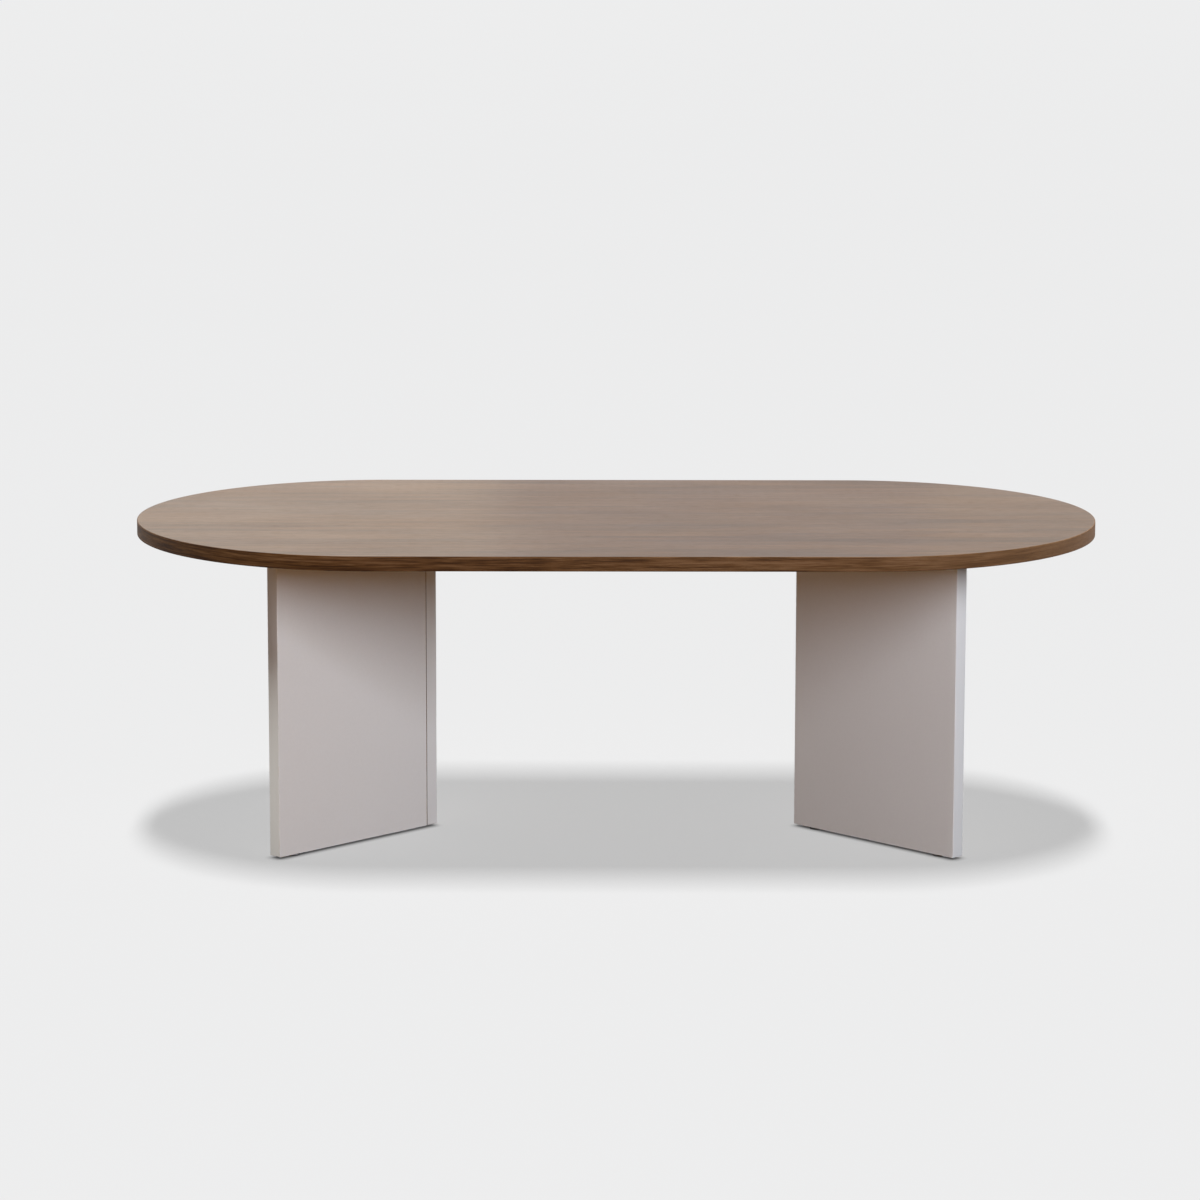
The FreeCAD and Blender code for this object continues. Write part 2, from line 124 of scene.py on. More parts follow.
class TableFinishes(bpy.types.PropertyGroup):
    """Colours of the woods, boards, bands and metals."""

    walnut_dark: colour("Walnut, dark", "Late wood and streaks of the veneer", 0.0610, 0.0269, 0.0097)
    walnut: colour("Walnut", "Middle tone of the veneer", 0.1036, 0.0478, 0.0177)
    walnut_light: colour("Walnut, light", "Early wood of the veneer", 0.1452, 0.0729, 0.0300)
    walnut_red: colour("Walnut, red", "Reddish clouds of the veneer", 0.1211, 0.0502, 0.0203)
    edge_dark: colour("Edge walnut, dark", "Streaks of the walnut edge band", 0.0231, 0.0089, 0.0030)
    edge: colour("Edge walnut", "Middle tone of the walnut edge band", 0.0570, 0.0248, 0.0084)
    edge_light: colour("Edge walnut, light", "Light grain of the walnut edge band", 0.0963, 0.0486, 0.0226)
    # Painted light and sheen: the colour that the walnut band is painted at its right end
    edge_painted_tip_light: colour("Edge walnut, sap", "Pale stretch of the walnut edge band", 0.190, 0.098, 0.047)
    greige: colour("Greige board", "Face of the panels", 0.475, 0.445, 0.430)
    greige_band: colour("Greige band", "Edge bands of the panels", 0.510, 0.485, 0.475)
    fibre: colour("Fibre board", "Core of the top", 0.42, 0.30, 0.18)
    beech: colour("Beech", "Dowels", 0.60, 0.42, 0.25)
    plated_steel: colour("Zinc plate", "Bolts and glide stems", 0.60, 0.60, 0.62)
    cast_zinc: colour("Cast zinc", "Cam locks", 0.50, 0.50, 0.52)
    brass: colour("Brass", "Threaded inserts", 0.70, 0.50, 0.22)
    nylon: colour("Nylon", "Glide pads", 0.050, 0.050, 0.052)


class TableStage(bpy.types.PropertyGroup):
    """Floor, backdrop, lamps and camera."""

    backdrop: colour("Backdrop", "Colour of the backdrop as the camera sees it", 0.847, 0.847, 0.847)
    floor: colour("Floor", "Colour of the floor under its lamp", 0.185, 0.185, 0.186)
    floor_glow: colour("Floor glow", "Light added to the floor as the camera sees it", 0.518, 0.519, 0.520)
    floor_bounce: colour("Floor bounce", "Colour of the floor as the table sees it", 0.047, 0.036, 0.029)
    ambient: colour("Ambient light", "Light from all round", 0.02, 0.02, 0.02)
    overhead: colour("Overhead lamp", "Light from above, on the table", 0.45, 0.45, 0.45)
    over_floor: colour(
        "Floor lamp", "Light on the floor, from above, in which the table casts its shadow",
        0.905, 0.905, 0.905)
    overhead_tilt: angle(
        "Overhead tilt", "Angle of the overhead lamp from straight above towards the front", 2.5)
    overhead_lean: angle(
        "Overhead lean", "Angle of the overhead lamp from straight above towards the left", 0.93)
    overhead_breadth: angle(
        "Overhead breadth", "Angle that the overhead lamp fills from left to right", 4.7, 0.1, 170)
    overhead_depth: angle(
        "Overhead depth", "Angle that the overhead lamp fills from front to back", 20, 0.1, 170)
    front_box: colour(
        "Front box", "Large soft light in front of the table, on the right", 0.792, 0.867, 0.958)
    low_box: colour("Low box", "Small warm light in front of the table, near the floor", 0.450, 0.230, 0.070)
    rear_box: colour("Rear box", "Large soft light behind the table", 0.45, 0.45, 0.45)
    left_card: colour(
        "Left card", "Lit card behind the table that the left half of the top mirrors", 0.48, 0.40, 0.285)
    right_card: colour(
        "Right card", "Lit card behind the table that the right end of the top mirrors", 0.175, 0.14, 0.08)
    left_high: colour("Left lamp", "Light on the left ends of the bases, from above", 0.805, 0.88, 0.87)
    right_rear: colour("Right lamp", "Light on the right ends of the bases, from behind", 1.0, 0.97, 0.94)
    left_fill: colour("Left fill", "Light on the inside of the left base", 0.7, 0.7, 0.7)
    under_fill: colour("Fill from below", "Light on the underside and the feet", 0.35, 0.35, 0.35)
    camera_distance: metres(
        "Camera distance", "From the camera to the middle of the table, along the floor", 5.6447, 0.5, 50.0)
    camera_height: metres("Camera height", "Above the floor", 1.3163, -20.0, 20.0)
    camera_side: metres("Camera side", "To the right of the middle", -0.0366, -20.0, 20.0)
    camera_turn: angle("Camera turn", "To the right", 0.167)
    camera_dip: angle("Camera dip", "Below the horizon", 10.292)
    camera_roll: angle("Camera roll", "Roll to the left", 0.094)
    lens: FloatProperty(
        name="Lens", description="Focal length on a 36 mm sensor", default=136.65, min=1.0)


class Step:
    """What the operators share."""

    bl_options = {"REGISTER", "UNDO"}


# Modelling by hand

def sizes():
    return bpy.context.scene.table_sizes


def put_down():
    """Leaves edit mode and deselects everything."""
    if bpy.context.object and bpy.context.object.mode != "OBJECT":
        bpy.ops.object.mode_set(mode="OBJECT")
    bpy.ops.object.select_all(action="DESELECT")


def pick_up(piece):
    """Makes a piece the only one selected and the active one."""
    put_down()
    piece.select_set(True)
    bpy.context.view_layer.objects.active = piece


def set_in_mesh(piece):
    """Moves a piece's place, turn and scale into its mesh."""
    pick_up(piece)
    bpy.ops.object.transform_apply(location=True, rotation=True, scale=True)


def choose(kind, test):
    """Selects the verts, edges or faces that pass a test, and nothing else, in edit mode."""
    mesh = bpy.context.object.data
    bpy.ops.mesh.select_mode(type=kind[:-1].upper())
    bpy.ops.mesh.select_all(action="DESELECT")
    shape = bmesh.from_edit_mesh(mesh)
    found = [part for part in getattr(shape, kind) if test(part)]
    for part in found:
        part.select_set(True)
    shape.select_flush_mode()
    bmesh.update_edit_mesh(mesh)
    if not found:
        raise RuntimeError(f"{bpy.context.object.name}: no {kind} found to work on")


def choose_all():
    bpy.ops.mesh.select_all(action="SELECT")


def bevel(offset, segments, affect="EDGES"):
    bpy.ops.mesh.bevel(offset=offset, segments=segments, affect=affect)


def push(x, y, z):
    """Extrudes what is selected."""
    bpy.ops.mesh.extrude_region_move(TRANSFORM_OT_translate={"value": (x, y, z)})


def close_up():
    """Merges doubles and turns all the faces outwards."""
    choose_all()
    bpy.ops.mesh.remove_doubles(threshold=MERGE)
    choose_all()
    bpy.ops.mesh.normals_make_consistent(inside=False)


def smooth(piece, degrees=35):
    """Shades a piece smooth, apart from edges with a sharper turn than this."""
    pick_up(piece)
    bpy.ops.object.shade_smooth_by_angle(angle=math.radians(degrees))


def middle_of(edge):
    return (edge.verts[0].co + edge.verts[1].co) / 2


def is_level(edge):
    return abs(edge.verts[0].co.z - edge.verts[1].co.z) < NEAR


def start(add, extent=(1, 1, 1), **settings):
    """Adds a plain shape, sets its place, turn and scale in its mesh and opens that for editing."""
    put_down()
    add(**settings)
    piece = bpy.context.object
    piece.scale = extent
    set_in_mesh(piece)
    bpy.ops.object.mode_set(mode="EDIT")
    return piece


def cylinder(sides, radius, length, middle, turn=(0, 0, 0)):
    return start(
        bpy.ops.mesh.primitive_cylinder_add, vertices=sides, radius=radius, depth=length, location=middle,
        rotation=turn)


def cuboid(extent, middle, turn=(0, 0, 0)):
    return start(bpy.ops.mesh.primitive_cube_add, extent, size=1, location=middle, rotation=turn)


def throw_away(piece):
    pick_up(piece)
    bpy.ops.object.delete()


def cut(piece, cutter):
    """Takes one shape out of a piece and throws the cutter away."""
    pick_up(piece)
    sunk = piece.modifiers.new("cut", "BOOLEAN")
    sunk.operation = "DIFFERENCE"
    sunk.solver = "EXACT"
    sunk.object = cutter
    bpy.ops.object.modifier_apply(modifier="cut")
    throw_away(cutter)


def copy_of(piece, name, place):
    """A copy with its own mesh, put in place by a matrix."""
    pick_up(piece)
    bpy.ops.object.duplicate(linked=False)
    twin = bpy.context.object
    twin.name = name
    twin.matrix_world = place @ piece.matrix_world
    set_in_mesh(twin)
    return twin


def join(pieces, name):
    pick_up(pieces[0])
    for piece in pieces:
        piece.select_set(True)
    bpy.ops.object.join()
    bpy.context.object.name = name
    return bpy.context.object


def seat(piece, body, slot, finish, *nodes):
    """Hands a finished piece over: its body, its finish and the nodes that it stands for. The slot is not
    used.
    """
    piece.data.materials.clear()
    piece.data.materials.append(finish)
    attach(piece, body)
    if nodes:
        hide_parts(*nodes)


def coat(finish, *nodes):
    """Gives nodes that are kept as they come from the frame their finish."""
    for node in nodes:
        NODES[node].data.materials[0] = finish


def solids_of(node):
    """The corner points of each separate solid in a node."""
    shape = bmesh.new()
    shape.from_mesh(NODES[node].data)
    bmesh.ops.remove_doubles(shape, verts=shape.verts, dist=MERGE_FRAME)
    left = dict.fromkeys(shape.verts)
    solids = []
    while left:
        reached = [left.popitem()[0]]
        points = []
        while reached:
            vert = reached.pop()
            points.append(vert.co.copy())
            for edge in vert.link_edges:
                other = edge.other_vert(vert)
                if other in left:
                    del left[other]
                    reached.append(other)
        solids.append(points)
    shape.free()
    return solids


# Finishes

class Amount:
    """Something that changes over a surface. Sums and products of amounts add Math nodes."""

    def __init__(self, finish, socket):
        self.finish = finish
        self.socket = socket

    def math(self, operation, *terms):
        return self.finish.node("ShaderNodeMath", {"operation": operation}, dict(enumerate(terms)))

    def __add__(self, other):
        return self.math("ADD", self, other)

    def __sub__(self, other):
        return self.math("SUBTRACT", self, other)

    def __rsub__(self, other):
        return self.math("SUBTRACT", other, self)

    def __mul__(self, other):
        return self.math("MULTIPLY", self, other)

    def __truediv__(self, other):
        return self.math("DIVIDE", self, other)

    def __pow__(self, other):
        return self.math("POWER", self, other)

    def __abs__(self):
        return self.math("ABSOLUTE", self)

    __radd__ = __add__


class Finish:
    """A material, or the world, being put together from nodes."""

    def __init__(self, block):
        block.use_nodes = True
        self.block = block
        self.tree = block.node_tree
        self.tree.nodes.clear()

    def node(self, kind, settings, sockets, output=0):
        """Adds a node, sets it up, fills its sockets with values or links, and gives one of its outputs."""
        made = self.tree.nodes.new(kind)
        for key, setting in settings.items():
            if key == "stops":
                ramp = made.color_ramp.elements
                while len(ramp) < len(setting):
                    ramp.new(1.0)
                for element, (position, shade) in zip(ramp, setting):
                    element.position = position
                    element.color = shade
            else:
                setattr(made, key, setting)
        for key, value in sockets.items():
            if isinstance(value, Amount):
                self.tree.links.new(value.socket, made.inputs[key])
            else:
                made.inputs[key].default_value = value
        return Amount(self, made.outputs[output]) if made.outputs else None

    def place(self):
        """The three object coordinates, in metres."""
        where = self.node("ShaderNodeTexCoord", {}, {}, "Object")
        return [self.node("ShaderNodeSeparateXYZ", {}, {0: where}, axis) for axis in range(3)]

    def run(self, name):
        """Both coordinates of a piece's own map, in metres."""
        where = self.node("ShaderNodeUVMap", {"uv_map": name}, {})
        return [self.node("ShaderNodeSeparateXYZ", {}, {0: where}, axis) for axis in range(2)]

    def grain(self, first, second, third, detail, rough=0.5):
        """Noise over three scaled coordinates, from 0 to 1 and mostly near one half."""
        where = self.node("ShaderNodeCombineXYZ", {}, {0: first, 1: second, 2: third})
        return self.node(
            "ShaderNodeTexNoise", {}, {"Vector": where, "Scale": 1.0, "Detail": detail, "Roughness": rough})

    def specks(self, place, number, detail, rough=0.5):
        """Noise that is alike in every direction, with a number of specks to the metre."""
        return self.grain(*[axis * number for axis in place], detail, rough)

    def rise(self, value, low, high):
        """A smooth step from 0 at low to 1 at high."""
        return self.node(
            "ShaderNodeMapRange", {"interpolation_type": "SMOOTHSTEP"}, {"Value": value, 1: low, 2: high})

    def tones(self, value, stops):
        """Colours along a ramp."""
        return self.node("ShaderNodeValToRGB", {"stops": stops}, {0: value})

    def blend(self, share, first, second, way="MIX"):
        """Mixes two colours."""
        return self.node(
            "ShaderNodeMix", {"data_type": "RGBA", "blend_type": way}, {0: share, 6: first, 7: second}, 2)

    def lift(self, height, distance, strength):
        """A normal that follows a height."""
        return self.node("ShaderNodeBump", {}, {"Height": height, "Distance": distance, "Strength": strength})

    def done(self, **sockets):
        """Ends the material in one Principled shader and gives the material."""
        named = {key.replace("_", " "): value for key, value in sockets.items()}
        shader = self.node("ShaderNodeBsdfPrincipled", {}, named)
        self.node("ShaderNodeOutputMaterial", {}, {"Surface": shader})
        return self.block


# Tint of the dark fibres in pressed board
DARK_FIBRE = (0.55, 0.5, 0.45)


def new_finish(name):
    return Finish(bpy.data.materials.new(name))


def colours():
    return bpy.context.scene.table_finishes


def tinted(shade, red, green, blue):
    """A colour times a tint."""
    return (shade[0] * red, shade[1] * green, shade[2] * blue, 1.0)


def paler(shade, share):
    """A colour with a share of white."""
    return (*[part + (1.0 - part) * share for part in shade[:3]], 1.0)


def walnut_figure(finish, along, across, layer, streaks):
    """Tone of a walnut leaf, about one half, and the fine grain and open pores in it.
    The streaks, from broad to fine, are given by their length and width in metres and their strength."""
    broad = streaks[0][1]
    wander = finish.grain(along * 0.9, across * (0.3 / broad), layer, 1.0) - 0.5
    line = across + wander * (0.4 * broad)
    tone = 0.5
    for number, (length, width, strength) in enumerate(streaks):
        streak = finish.grain(along * (1.0 / length), line * (1.0 / width), layer + 11.3 * (number + 1), 2.0)
        tone = tone + (streak - 0.5) * strength
    length, width = streaks[-1][:2]
    pores = finish.grain(along * (3.0 / length), line * (4.0 / width), layer + 91.7, 0.0)
    return tone, streak, finish.rise(pores, 0.60, 0.72)


def walnut_veneer():
    """Satin lacquered walnut with its grain along the top, laid in leaves."""
    finish = new_finish("walnut_veneer_satin")
    shade = colours()
    x, y, z = finish.place()
    leaf = y.math("FLOOR", y / sizes().veneer_leaf)
    cast = finish.node("ShaderNodeTexWhiteNoise", {"noise_dimensions": "1D"}, {"W": leaf + 0.5})
    depth = cast * 4.0 + z * 2.0
    tone, fine, pores = walnut_figure(finish, x + cast * 3.0, y, depth, [
        (1.40, 0.100, 1.2), (0.20, 0.050, 0.9), (0.80, 0.022, 0.8), (0.20, 0.0075, 1.4), (0.04, 0.0018, 1.0)])
    tone = tone + (cast - 0.5) * 0.06
    red = finish.rise(finish.grain(x * 5.5, y * 20.0, depth + 63.1, 2.0), 0.35, 0.70)
    wood = finish.tones(tone, [(0.16, shade.walnut_dark), (0.5, shade.walnut), (0.86, shade.walnut_light)])
    wood = finish.blend(red * 0.22, wood, shade.walnut_red)
    wood = finish.blend(pores * 0.35, wood, shade.walnut_dark)
    rub = finish.grain(x * 5.0, y * 9.0, 3.0, 2.0)
    rough = 0.37 + (rub - 0.5) * 0.10 + (fine - 0.5) * 0.05 + pores * 0.10
    return finish.done(
        Base_Color=wood, Roughness=rough, Normal=finish.lift(fine * 0.4 - pores, 0.00003, 0.6), IOR=1.5)


def walnut_band():
    """Walnut strip with its grain running round the edge of the top, with painted light: lighter and paler
    towards its right end, darker on the left.
    """
    finish = new_finish("walnut_band_matte")
    shade = colours()
    run, up = finish.run("edge_run")
    tone, fine, pores = walnut_figure(finish, run, up, 2.7, [
        (0.50, 0.010, 0.6), (0.15, 0.0040, 0.6), (0.055, 0.0018, 1.4), (0.025, 0.0008, 1.0)])
    # Painted light: the band is painted lighter towards its right end and darker on the left, and paler still
    # at the right end, as light and sheen fall there
    painted_light_drift = run.math("SINE", run * 2.04 - 0.2)
    painted_tip_light = painted_light_drift.math("MAXIMUM", painted_light_drift, 0.0) ** 10.0
    tone = tone + painted_light_drift * 0.12
    wood = finish.tones(tone, [(0.20, shade.edge_dark), (0.5, shade.edge), (0.82, shade.edge_light)])
    wood = finish.blend(painted_tip_light * 0.5 + finish.rise(painted_light_drift, -0.35, 0.35) * 0.035, wood, shade.edge_painted_tip_light)
    wood = finish.blend(pores * 0.4, wood, shade.edge_dark)
    rough = 0.52 + (fine - 0.5) * 0.10 + pores * 0.10
    return finish.done(
        Base_Color=wood, Roughness=rough, Normal=finish.lift(fine * 0.4 - pores, 0.00003, 0.6), IOR=1.5,
        Specular_IOR_Level=0.12)


def greige_board(low, high):
    """Matte melamine with a fine pearl grain, and the pressed core that shows between its two skins.
    The panels stand on the diagonals. Their faces are low and high away from the diagonals through
    the middle of the table."""
    finish = new_finish("greige_melamine")
    shade = colours()
    place = finish.place()
    x, y = place[:2]
    cloud = finish.specks(place, 7.0, 3.0)
    pearl = finish.specks(place, 900.0, 1.0)
    speck = finish.specks(place, 320.0, 2.0, 0.6)
    tone = 0.5 + (cloud - 0.5) * 0.5 + (speck - 0.5) * 0.7
    face = finish.blend(tone * 0.3, shade.greige, paler(shade.greige, 0.24))
    across = abs(abs(x) - abs(y)) * DIAGONAL - (low + high) / 2
    buried = (high - low) / 2 - sizes().board_skin
    skin = finish.rise(abs(across), buried - NEAR, buried + NEAR)
    core = finish.blend(finish.rise(speck, 0.35, 0.65), tinted(shade.fibre, *DARK_FIBRE), shade.fibre)
    face = finish.blend(skin, core, face)
    rough = 0.50 + (speck - 0.5) * 0.12 + (cloud - 0.5) * 0.06
    return finish.done(
        Base_Color=face, Roughness=rough, Normal=finish.lift(pearl, 0.00004, 0.35), IOR=1.46)


def greige_band():
    """Matte plastic edging, drawn lengthways, with painted shade on the sawn side that faces the open seam.
    """
    finish = new_finish("greige_edging")
    shade = colours()
    place = finish.place()
    x, y, z = place
    drawn = finish.grain(x * 1500.0, y * 1500.0, z * 6.0, 1.0)
    cloud = finish.specks(place, 9.0, 2.0)
    tone = (cloud - 0.3) * 0.3 + (drawn - 0.5) * 0.2
    face = finish.blend(tone, shade.greige_band, paler(shade.greige_band, 0.24))
    # Painted shade: the sawn side beside the open seam is painted much darker, for the shade in the seam
    sawn = finish.node("ShaderNodeAttribute", {"attribute_name": "sawn_edge"}, {}, "Fac")
    face = finish.blend(sawn, face, tinted(shade.greige_band, 0.34, 0.33, 0.32))
    rough = 0.44 + (drawn - 0.5) * 0.12
    return finish.done(
        Base_Color=face, Roughness=rough, Normal=finish.lift(drawn, 0.00002, 0.3), IOR=1.46)


def fibre_board():
    """Pressed wood fibre, speckled in section."""
    finish = new_finish("pressed_fibre")
    shade = colours()
    place = finish.place()
    x, y, z = place
    chip = finish.grain(x * 300.0, y * 300.0, z * 600.0, 3.0, 0.65)
    dust = finish.specks(place, 1500.0, 1.0)
    dark = tinted(shade.fibre, *DARK_FIBRE)
    face = finish.blend(finish.rise(chip * 0.7 + dust * 0.3, 0.35, 0.65), dark, shade.fibre)
    return finish.done(
        Base_Color=face, Roughness=0.8 + (dust - 0.5) * 0.2,
        Normal=finish.lift(chip + dust * 0.5, 0.0002, 0.5))


def beech(name, along, across, up):
    """Beech with short ray flecks along its grain."""
    finish = new_finish(name)
    shade = colours()
    x, y, z = finish.place()
    first, second, third = [x * axis[0] + y * axis[1] + z * axis[2] for axis in (along, across, up)]
    streak = finish.grain(first * 25.0, second * 900.0, third * 900.0, 2.0)
    fleck = finish.rise(finish.grain(first * 350.0, second * 2200.0, third * 2200.0, 0.0), 0.58, 0.70)
    dark = tinted(shade.beech, 0.72, 0.62, 0.55)
    face = finish.blend(finish.rise(streak, 0.35, 0.68), dark, shade.beech)
    face = finish.blend(fleck * 0.5, face, dark)
    return finish.done(
        Base_Color=face, Roughness=0.62 + (streak - 0.5) * 0.2,
        Normal=finish.lift(streak - fleck, 0.0001, 0.4))


def metal(name, shade, rough, spots, mottle):
    """Metal with a mottled surface: spots to the metre, and how far its roughness varies."""
    finish = new_finish(name)
    place = finish.place()
    skin = finish.specks(place, spots, 3.0, 0.6)
    wear = finish.specks(place, 120.0, 2.0)
    dull = tinted(shade, 0.78, 0.77, 0.76)
    face = finish.blend(finish.rise(skin * 0.6 + wear * 0.4, 0.38, 0.62), dull, shade)
    return finish.done(
        Base_Color=face, Metallic=1.0, Roughness=rough + (skin - 0.5) * mottle + (wear - 0.5) * mottle,
        Normal=finish.lift(skin, 0.00004, 0.4))


def nylon():
    """Moulded nylon with a fine spark-eroded grain."""
    finish = new_finish("moulded_nylon")
    shade = colours()
    place = finish.place()
    spark = finish.specks(place, 2500.0, 1.0)
    scuff = finish.specks(place, 260.0, 3.0, 0.6)
    face = finish.blend(finish.rise(scuff, 0.55, 0.75), shade.nylon, paler(shade.nylon, 0.12))
    return finish.done(
        Base_Color=face, Roughness=0.5 + (scuff - 0.5) * 0.25,
        Normal=finish.lift(spark, 0.00004, 0.4), IOR=1.53)


# The walnut top

# Width of the profile of the face veneer, of which only the outer side is kept
VENEER_PROFILE = 0.01


def top_outline():
    """Length of the straight sides and radius of the ends, from the frame.
    The facets of its ends stop just short, so the length is rounded to the millimetre."""
    low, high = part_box("top_edge_band")
    return round(high.x - low.x, 3) - 2 * high.y, high.y


def carry_round_top(straight):
    """Carries the selected profile from the middle of the back once round the racetrack."""
    steps = sizes().end_steps
    push(straight / 2, 0, 0)
    bpy.ops.mesh.spin(steps=steps, angle=math.pi, center=(straight / 2, 0, 0), axis=(0, 0, 1))
    push(-straight, 0, 0)
    bpy.ops.mesh.spin(steps=steps, angle=math.pi, center=(-straight / 2, 0, 0), axis=(0, 0, 1))
    push(straight / 2, 0, 0)
    close_up()


def profile(name, y_low, y_high, z_low, z_high):
    """An upright rectangle across the back of the top, in edit mode."""
    piece = start(
        bpy.ops.mesh.primitive_plane_add, (z_high - z_low, y_high - y_low, 1), size=1,
        location=(0, (y_low + y_high) / 2, (z_low + z_high) / 2), rotation=(0, math.pi / 2, 0))
    piece.name = name
    return piece


def map_edge_run(piece, straight, radius):
    """Maps each corner to its run along the edge from the joint at the back, and to its height."""
    half = straight / 2
    end = math.pi * radius
    whole = 2 * (straight + end)

    def run_at(point):
        if point.x > half:
            return half + radius * math.atan2(point.x - half, point.y)
        if point.x < -half:
            return half + end + straight + radius * math.atan2(-point.x - half, -point.y)
        if point.y < 0:
            return half + end + half - point.x
        return point.x % whole

    mesh = piece.data
    layer = mesh.uv_layers.new(name="edge_run")
    for face in mesh.polygons:
        here = run_at(face.center)
        for corner in face.loop_indices:
            point = mesh.vertices[mesh.loops[corner].vertex_index].co
            run = run_at(point)
            if run - here > whole / 2:
                run -= whole
            elif here - run > whole / 2:
                run += whole
            layer.data[corner].uv = (run, point.z)


class TABLE_OT_top_edge_band(Step, bpy.types.Operator):
    """Walnut edge band, swept round the racetrack with rounded arrises"""

    bl_idname = "coffee_table.top_edge_band"
    bl_label = "Top edge band"

    def execute(self, context):
        straight, radius = top_outline()
        low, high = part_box("top_edge_band")
        thick = sizes().band_thickness
        band = profile("top_edge_band_rounded", radius - thick, radius, low.z, high.z)
        choose("verts", lambda vert: vert.co.y > radius - thick / 2)
        bevel(sizes().top_arris, 5, "VERTICES")
        choose_all()
        bpy.ops.mesh.delete(type="ONLY_FACE")
        choose_all()
        carry_round_top(straight)
        smooth(band, 40)
        map_edge_run(band, straight, radius)
        seat(band, "table", "walnut_band", walnut_band(), "top_edge_band")
        return {"FINISHED"}


class TABLE_OT_top_board(Step, bpy.types.Operator):
    """Walnut face veneer cut to the band, and the finishes of the core and the backing veneer"""

    bl_idname = "coffee_table.top_board"
    bl_label = "Top board"

    def execute(self, context):
        straight, radius = top_outline()
        radius -= sizes().band_thickness
        low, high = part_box("top_veneer")
        sheet = profile(TOP_FACE, radius - VENEER_PROFILE, radius, low.z, high.z)
        choose("verts", lambda vert: vert.co.y < radius - VENEER_PROFILE / 2)
        bpy.ops.mesh.delete(type="VERT")
        choose_all()
        carry_round_top(straight)
        for level in (low.z, high.z):
            choose("edges", lambda edge: edge.is_boundary and abs(middle_of(edge).z - level) < NEAR)
            bpy.ops.mesh.edge_face_add()
        close_up()
        put_down()
        veneer = walnut_veneer()
        seat(sheet, "table", "walnut_veneer", veneer, "top_veneer")
        coat(veneer, "underside_veneer")
        coat(fibre_board(), "top_core")
        return {"FINISHED"}


# The bases

class TABLE_OT_panels(Step, bpy.types.Operator):
    """Finish of the four panels and of the bands under them"""

    bl_idname = "coffee_table.panels"
    bl_label = "Panels"

    def execute(self, context):
        away = [
            abs(abs(point.co.x) - abs(point.co.y)) * DIAGONAL
            for point in NODES["left_front_panel"].data.vertices]
        coat(greige_board(min(away), max(away)), *[f"{panel}_panel" for panel in PANELS])
        coat(greige_band(), *[f"{panel}_foot_band" for panel in PANELS])
        return {"FINISHED"}


def flat(vector):
    """The level part of a direction, one long, snapped to the diagonals that the panels follow."""
    return Vector((math.copysign(DIAGONAL, vector.x), math.copysign(DIAGONAL, vector.y), 0))


def node_middle(node):
    low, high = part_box(node)
    return (low + high) / 2


def model_strip(thick, width, height, gap):
    """An upright strip that faces +X, with rounded arrises apart from its top end.
    A gap stays open on its -Y side, which is then a sawn edge; that face is marked so that the edging finish
    paints it dark, as painted shade in the seam."""
    strip = cuboid((thick, width - gap, height), (0, gap / 2, 0))
    sawn = -width / 3 if gap else -width

    def is_arris(edge):
        middle = middle_of(edge)
        return middle.x > thick / 3 and middle.z < height / 3 and middle.y > sawn

    choose("edges", is_arris)
    bevel(sizes().panel_arris, 4)
    close_up()
    smooth(strip)
    # Marks the sawn side, which the edging finish paints dark as painted shade in the seam
    layer = strip.data.attributes.new("sawn_edge", "FLOAT", "FACE")
    for face, value in zip(strip.data.polygons, layer.data):
        value.value = 1.0 if gap and face.normal.y < -FACING else 0.0
    return strip


class TABLE_OT_panel_bands(Step, bpy.types.Operator):
    """Edge bands on the upright ends of the panels, with rounded arrises"""

    bl_idname = "coffee_table.panel_bands"
    bl_label = "Panel bands"

    def execute(self, context):
        thick = sizes().band_thickness
        low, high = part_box("left_front_end_band")
        width = (high.x - low.x) / DIAGONAL - thick
        height = high.z - low.z
        finish = bpy.data.materials["greige_edging"]
        bands = {f"{panel}_end_band": f"{panel}_panel" for panel in PANELS}
        bands["left_rear_corner_band"] = "left_rear_panel"
        bands["right_front_corner_band"] = "right_front_panel"
        end_strip = model_strip(thick, width, height, 0.0)
        corner_strip = model_strip(thick, width, height, sizes().seam_gap)
        for node, panel in bands.items():
            outward = flat(node_middle(node) - node_middle(panel))
            turn = Vector((1, 0, 0)).rotation_difference(outward).to_matrix().to_4x4()
            strip = corner_strip if "corner" in node else end_strip
            band = copy_of(strip, f"{node}_rounded", Matrix.Translation(node_middle(node)) @ turn)
            seat(band, "table", "greige_band", finish, node)
        throw_away(end_strip)
        throw_away(corner_strip)
        return {"FINISHED"}


# The fittings

# Cam lock, in metres: length, height of the bolt's axis and chamfer
CAM_LENGTH = 0.013
CAM_BOLT_AXIS = 0.0045
CAM_CHAMFER = 0.00025
# Step inside the rim: width and depth
CAM_STEP = (0.0002, 0.0003)
# Slots: length, width and twice the depth, and rounding of the corners
CAM_SLOT = (0.008, 0.0018, 0.006)
CAM_SLOT_ROUNDING = 0.0002
# Cutter of the pointer: radius, height and distance from the side
CAM_POINTER = (0.0009, 0.0008, 0.0023)
# Cutter of the mouth: radius, and how far it reaches past the axis and past the side
CAM_MOUTH = (0.0038, 0.0023, 0.002)


